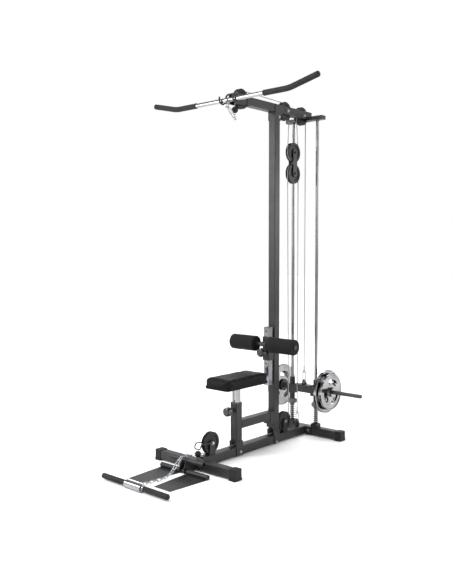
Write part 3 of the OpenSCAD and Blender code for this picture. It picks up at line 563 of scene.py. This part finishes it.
def add_seat_pad():
    low, high = corners_of("seat_pad")
    centre = (low + high) / 2
    half = (high - low) / 2
    loops = []
    for share, inset in PAD_SIDE:
        rise = Vector((centre.x, centre.y, low.z + share * (high.z - low.z)))
        loops.append([p + rise for p in rounded_outline(half, inset * MM, steps=10)])
    bm = bmesh.new()
    add_loft(bm, loops)
    pad = new_piece("seat_cushion", bm, LEATHERETTE)
    remesh_evenly(pad)
    inflate(pad, PAD_SWELL, low.z)
    crown_and_ripple(pad.data, centre, half, low.z)
    smooth = pad.modifiers.new("smooth", "SUBSURF")
    smooth.levels = 1
    smooth.render_levels = 1
    shade_smooth(pad.data)
    paint(pad, LEATHERETTE)
    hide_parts("seat_pad")
    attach(pad, "seat")
    add_pad_seam(centre, half, low.z)


def add_pad_seam(centre, half, base_z):
    """The piping round the pad, and a row of stitches just above it."""
    lift = Vector((centre.x, centre.y, base_z + PIPING_HEIGHT))
    bm = bmesh.new()
    outline = rounded_outline(half, PIPING_INSET, steps=12)
    add_tube(bm, [p + lift for p in outline], PIPING_R, sides=10, closed=True)
    piping = new_piece("seat_piping", bm, LEATHERETTE)
    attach(piping, "seat")
    bm = bmesh.new()
    outline = rounded_outline(half, STITCH_INSET, steps=60)
    up = lift + STITCH_LIFT
    for first, second in zip(outline[::2], outline[1::2]):
        if (second - first).length < STITCH_LONGEST:
            add_tube(bm, [first + up, second + up], STITCH_R, sides=6)
    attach(new_piece("seat_stitches", bm, RUBBER), "seat")


# ---------- foam rollers ----------

ROLLER_BORE = 9.5 * MM
ROLLER_LIP = 7 * MM
ROLLER_DISH = 3 * MM
ROLLER_STEPS = 40


def quarter_turn(steps):
    """Angles in even steps from 0 to a right angle."""
    return [math.pi / 2 * i / steps for i in range(steps + 1)]


def roller_profile(half, outer):
    """Half the section of a roller: dished ends, rounded lips and a slightly uneven skin."""
    dished = half - ROLLER_DISH
    lip = [(-half + ROLLER_LIP * (1 - math.cos(angle)) * 0.9,
            outer - ROLLER_LIP + ROLLER_LIP * math.sin(angle)) for angle in quarter_turn(8)]
    skin = []
    for i in range(1, ROLLER_STEPS):
        share = -1 + 2 * i / ROLLER_STEPS
        wobble = 0.35 * MM * math.sin(9 * share) + 0.25 * MM * math.sin(23 * share + 1)
        skin.append((share * (half - ROLLER_LIP), outer + min(wobble, 0)))
    far_lip = [(-along, radius) for along, radius in reversed(lip)]
    near_end = [(-dished, ROLLER_BORE), (-dished, ROLLER_BORE + 6 * MM), (-half, ROLLER_BORE + 9 * MM)]
    far_end = [(dished, ROLLER_BORE + 6 * MM), (dished, ROLLER_BORE)]
    return near_end + lip + skin + far_lip + far_end


def add_roller(side):
    low, high = corners_of(f"{side}_roller")
    half = (high.x - low.x) / 2 - 0.4 * MM
    outer = (high.z - low.z) / 2
    bm = bmesh.new()
    lathe(bm, roller_profile(half, outer), (low + high) / 2, segments=72)
    roller = new_piece(f"{side}_foam_roller", bm, FOAM)
    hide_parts(f"{side}_roller")
    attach(roller, f"{side}_thigh_roller")


# ---------- grips ----------

# The lat bar's grips as (x, z): where a grip starts, where the bar bends, and its outer end.
GRIP_CORNERS = [(253 * MM, 2062 * MM), (422 * MM, 2062 * MM), (615.5 * MM, 2106.8 * MM)]
GRIP_BEND_REACH = 30 * MM
GRIP_STEP = 3 * MM
GRIP_R = 15.9 * MM


def divided(path, step):
    """The path with points added so that they lie about one step apart."""
    points = []
    for first, second in zip(path, path[1:]):
        pieces = max(1, round((second - first).length / step))
        points += [first.lerp(second, i / pieces) for i in range(pieces)]
    return points + [path[-1]]


def grip_radii(count):
    """The radius at each point of a grip: a small lip at the inner end and a rounded outer end."""
    radii = []
    for i in range(count):
        lip = {0: -1.2 * MM, 1: 0.6 * MM, 2: 0.6 * MM}.get(i, 0)
        to_end = min((count - 1 - i) / 3, 1)
        rounding = math.sqrt(max(0.05, 1 - (1 - to_end) ** 2))
        radii.append((GRIP_R + lip) * rounding)
    return radii


def add_bar_grips():
    """The rubber grips on the lat bar, one along each of its bent ends."""
    y = middle("lat_grips").y
    for side, name in ((1, "right"), (-1, "left")):
        corners = [(side * x, y, z) for x, z in GRIP_CORNERS]
        path = divided(smooth_path(corners, GRIP_BEND_REACH), GRIP_STEP)
        bm = bmesh.new()
        add_tube(bm, path, grip_radii(len(path)), sides=32)
        grip = new_piece(f"{name}_bar_grip", bm, RUBBER)
        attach(grip, "bar")
        if side == 1:
            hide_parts("lat_grips")


ROW_BAR_R = 12 * MM
ROW_GRIP_R = 15 * MM
ROW_GRIP_BORE = 12.2 * MM
ROW_GRIP_TIP = 9 * MM
ROW_GRIP_CAP = 6 * MM


def row_grip_profile(start, outer):
    """Half the section of a grip that starts beside the sleeve and is closed at its outer end."""
    rounding = [(outer - ROW_GRIP_TIP + ROW_GRIP_TIP * math.sin(angle),
                 ROW_GRIP_R - ROW_GRIP_TIP * (1 - math.cos(angle))) for angle in quarter_turn(8)]
    near_end = [(start, ROW_GRIP_BORE), (start, ROW_GRIP_R - 1 * MM), (start + 1 * MM, ROW_GRIP_R)]
    cap_inside = outer - ROW_GRIP_CAP
    far_end = [(outer, 0.5 * MM), (cap_inside, 0.5 * MM), (cap_inside, ROW_GRIP_BORE)]
    return near_end + rounding + far_end


def add_row_handle():
    """The row bar and its grips: a plain steel bar with a rubber grip on each side of the sleeve."""
    centre = middle("row_handle")
    sleeve_low, sleeve_high = corners_of("row_sleeve")
    outer = corners_of("row_handle")[1].x
    bar_end = Vector((outer - 10 * MM, 0, 0))
    bm = bmesh.new()
    add_tube(bm, [centre - bar_end, centre + bar_end], ROW_BAR_R, sides=32)
    bar = new_piece("row_bar_steel", bm, CHROME)
    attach(bar, "row_bar")
    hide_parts("row_handle")
    right_start = sleeve_high.x + 12 * MM
    left_start = -sleeve_low.x + 1 * MM
    for side, start, name in ((1, right_start, "right"), (-1, left_start, "left")):
        profile = [(side * along, radius) for along, radius in row_grip_profile(start, outer)]
        bm = bmesh.new()
        lathe(bm, profile, (0, centre.y, centre.z), segments=40)
        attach(new_piece(f"{name}_row_grip", bm, RUBBER), "row_bar")


# ---------- springs ----------

WIRE_R = 2.2 * MM
SPRING_TURNS = 10
POINTS_PER_TURN = 24


def add_springs():
    """Round coil springs with closed end turns, in place of the CAD's coarser ones."""
    low, high = corners_of("bumper_springs")
    coil_r = (high.y - low.y) / 2 - WIRE_R
    closed_pitch = 2 * WIRE_R
    open_pitch = (high.z - low.z - 2 * WIRE_R - 2 * closed_pitch) / (SPRING_TURNS - 2)
    bm = bmesh.new()
    for side in (-1, 1):
        centre_x = side * (high.x - coil_r - WIRE_R)
        path = []
        for i in range(SPRING_TURNS * POINTS_PER_TURN + 1):
            turn = i / POINTS_PER_TURN
            closed = min(turn, 1) + max(turn - SPRING_TURNS + 1, 0)
            angle = 2 * math.pi * turn
            x = centre_x + side * coil_r * math.cos(angle)
            y = (low.y + high.y) / 2 + coil_r * math.sin(angle)
            z = low.z + WIRE_R + closed * closed_pitch + (turn - closed) * open_pitch
            path.append((x, y, z))
        add_tube(bm, path, WIRE_R, sides=10)
    springs = new_piece("coil_springs", bm, SPRING_STEEL)
    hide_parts("bumper_springs")
    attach(springs, "frame")


# ---------- stage ----------

def add_stage():
    """A wide pale floor."""
    bm = bmesh.new()
    bmesh.ops.create_circle(bm, cap_ends=True, segments=96, radius=30)
    mesh = bpy.data.meshes.new("studio_floor")
    bm.to_mesh(mesh)
    bm.free()
    floor = bpy.data.objects.new("studio_floor", mesh)
    bpy.context.scene.collection.objects.link(floor)
    look = Look("studio_floor", (0.92, 0.92, 0.92), 0.8)
    look.vary_color(look.noise(3, 3), (0.91, 0.91, 0.91), (0.93, 0.93, 0.93))
    paint(floor, look.material)


def add_light(name, where, aim, size, power):
    """A rectangular panel lamp that the camera doesn't see."""
    data = bpy.data.lights.new(name, "AREA")
    data.shape = "RECTANGLE"
    data.size, data.size_y = size
    data.energy = power
    light = bpy.data.objects.new(name, data)
    light.location = where
    light.rotation_euler = (Vector(aim) - Vector(where)).to_track_quat("-Z", "Y").to_euler()
    light.visible_camera = False
    bpy.context.scene.collection.objects.link(light)


def add_world():
    """A white surround that turns dark grey overhead, for polished parts to reflect."""
    world = bpy.data.worlds.new("studio")
    world.use_nodes = True
    tree = world.node_tree
    coords = tree.nodes.new("ShaderNodeTexCoord")
    height = tree.nodes.new("ShaderNodeSeparateXYZ")
    ramp = tree.nodes.new("ShaderNodeValToRGB")
    ramp.color_ramp.elements[0].position = 0.38
    ramp.color_ramp.elements[0].color = (1, 1, 1, 1)
    ramp.color_ramp.elements[1].position = 0.7
    ramp.color_ramp.elements[1].color = (0.16, 0.16, 0.17, 1)
    tree.links.new(coords.outputs["Generated"], height.inputs["Vector"])
    tree.links.new(height.outputs["Z"], ramp.inputs["Fac"])
    tree.links.new(ramp.outputs["Color"], tree.nodes["Background"].inputs["Color"])
    tree.nodes["Background"].inputs["Strength"].default_value = 1.0
    bpy.context.scene.world = world


def add_lights():
    """Panels at the front left, the right and behind, low fill on both sides, and a soft sky."""
    add_light("key", where=(-2.2, -4.2, 3.6), aim=(0, 0, 0.9), size=(1.6, 2.4), power=150)
    add_light("side", where=(4.4, 0.9, 2.9), aim=(0, 0.3, 1.5), size=(1.2, 2.8), power=60)
    add_light("right", where=(2.7, 3.4, 1.7), aim=(0, 0.35, 1.4), size=(1.4, 0.9), power=30)
    add_light("back", where=(-2.0, 4.2, 3.6), aim=(0, 0.3, 1.0), size=(2.5, 2.0), power=80)
    add_light("left", where=(-2.0, -2.3, 1.8), aim=(0, 0.35, 1.4), size=(0.9, 1.4), power=30)
    sky = bpy.data.lights.new("sky", "SUN")
    sky.energy = 2.6
    sky.angle = math.radians(50)
    sky_lamp = bpy.data.objects.new("sky", sky)
    sky_lamp.rotation_euler = (math.radians(12), math.radians(-8), 0)
    bpy.context.scene.collection.objects.link(sky_lamp)


def add_camera():
    """The camera as it was fitted to the photograph."""
    data = bpy.data.cameras.new("camera")
    data.lens = 42.76
    data.sensor_width = 36
    data.clip_end = 60
    camera = bpy.data.objects.new("camera", data)
    camera.location = (2.644, -3.052, 1.203)
    camera.rotation_euler = (math.radians(86.67), math.radians(0.07), math.radians(41.81))
    bpy.context.scene.collection.objects.link(camera)
    bpy.context.scene.camera = camera
    bpy.context.scene.view_settings.view_transform = "Standard"


add_camera()
paint_cad_nodes()
add_cables()
add_seat_pad()
add_roller("left")
add_roller("right")
add_bar_grips()
add_row_handle()
add_springs()
add_stage()
add_world()
add_lights()
